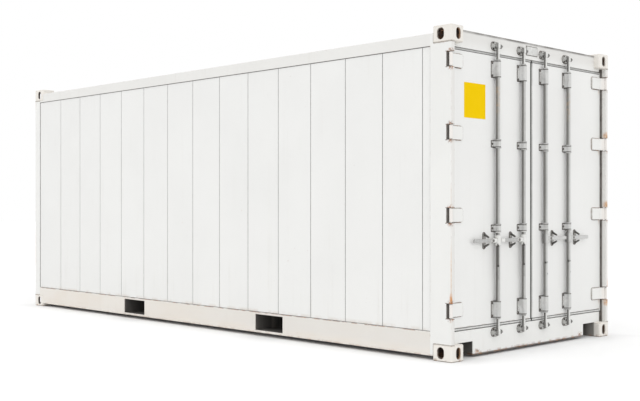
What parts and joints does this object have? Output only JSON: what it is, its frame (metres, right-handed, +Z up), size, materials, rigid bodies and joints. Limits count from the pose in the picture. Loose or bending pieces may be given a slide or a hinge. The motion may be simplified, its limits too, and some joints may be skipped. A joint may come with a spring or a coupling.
{
  "type": "insulated shipping container",
  "caption": "Insulated freight container with flat seamed walls, corner castings, fork pockets and a pair of hinged end doors closed by turning locking bars.",
  "frame": {"origin": "floor level, in the middle of the container's plan", "axes": "X along the length with the doors at +X, Y across, Z up"},
  "size_m": [6.058, 2.438, 2.591],
  "materials": {
    "panel_paint": "satin white paint",
    "frame_paint": "satin white paint with rust at the edges",
    "casting_paint": "worn white paint on cast steel",
    "underside_paint": "dull dark paint with road dirt",
    "galvanised_steel": "dull zinc coating",
    "dark_steel": "dark weathered steel",
    "gasket_rubber": "matte grey rubber",
    "floor_aluminium": "scuffed mill finish"
  },
  "bodies": {
    "root": {"casting_door_end_lower_left": "casting_paint", "casting_door_end_lower_right": "casting_paint", "casting_door_end_upper_left": "casting_paint", "casting_door_end_upper_right": "casting_paint", "casting_far_end_lower_left": "casting_paint", "casting_far_end_lower_right": "casting_paint", "casting_far_end_upper_left": "casting_paint", "casting_far_end_upper_right": "casting_paint", "door_post_left": "frame_paint", "bottom_side_rail_left": "frame_paint", "side_wall_left": "panel_paint", "door_post_right": "frame_paint", "bottom_side_rail_right": "frame_paint", "side_wall_right": "panel_paint", "far_end_posts": "frame_paint", "door_header": "frame_paint", "door_sill": "frame_paint", "far_end_beams": "frame_paint", "top_side_rails": "frame_paint", "fork_pockets": "underside_paint", "cross_members": "underside_paint", "floor_deck": "floor_aluminium", "far_end_wall": "panel_paint", "roof_panel": "panel_paint", "roof_end_strips": "panel_paint", "hinge_pins": "galvanised_steel", "cam_keepers": "galvanised_steel"},
    "left_door": {"left_door_leaf": "panel_paint", "left_door_gasket": "gasket_rubber", "left_hinge_blades": "frame_paint", "left_bar_guides": "galvanised_steel", "left_handle_catches": "dark_steel"},
    "left_outer_bar": {"left_outer_locking_bar": "galvanised_steel", "left_outer_handle": "galvanised_steel"},
    "left_inner_bar": {"left_inner_locking_bar": "galvanised_steel", "left_inner_handle": "galvanised_steel"},
    "right_door": {"right_door_leaf": "panel_paint", "right_door_gasket": "gasket_rubber", "right_hinge_blades": "frame_paint", "right_bar_guides": "galvanised_steel", "right_handle_catches": "dark_steel"},
    "right_outer_bar": {"right_outer_locking_bar": "galvanised_steel", "right_outer_handle": "galvanised_steel"},
    "right_inner_bar": {"right_inner_locking_bar": "galvanised_steel", "right_inner_handle": "galvanised_steel"}
  },
  "joints": [
    {"name": "left_door_hinge", "type": "hinge", "parent": "root", "child": "left_door", "pos_m": [3.01, -1.199, 1.33], "axis": [0, 0, -1], "range_deg": [0, 260]},
    {"name": "left_outer_bar_turn", "type": "hinge", "parent": "left_door", "child": "left_outer_bar", "pos_m": [3.002, -0.55, 1.33], "axis": [0, 0, -1], "range_deg": [-100, 0]},
    {"name": "left_inner_bar_turn", "type": "hinge", "parent": "left_door", "child": "left_inner_bar", "pos_m": [3.002, -0.17, 1.33], "axis": [0, 0, -1], "range_deg": [-100, 0]},
    {"name": "right_door_hinge", "type": "hinge", "parent": "root", "child": "right_door", "pos_m": [3.01, 1.199, 1.33], "axis": [0, 0, 1], "range_deg": [0, 260]},
    {"name": "right_outer_bar_turn", "type": "hinge", "parent": "right_door", "child": "right_outer_bar", "pos_m": [3.002, 0.55, 1.33], "axis": [0, 0, 1], "range_deg": [-100, 0]},
    {"name": "right_inner_bar_turn", "type": "hinge", "parent": "right_door", "child": "right_inner_bar", "pos_m": [3.002, 0.17, 1.33], "axis": [0, 0, 1], "range_deg": [-100, 0]}
  ]
}
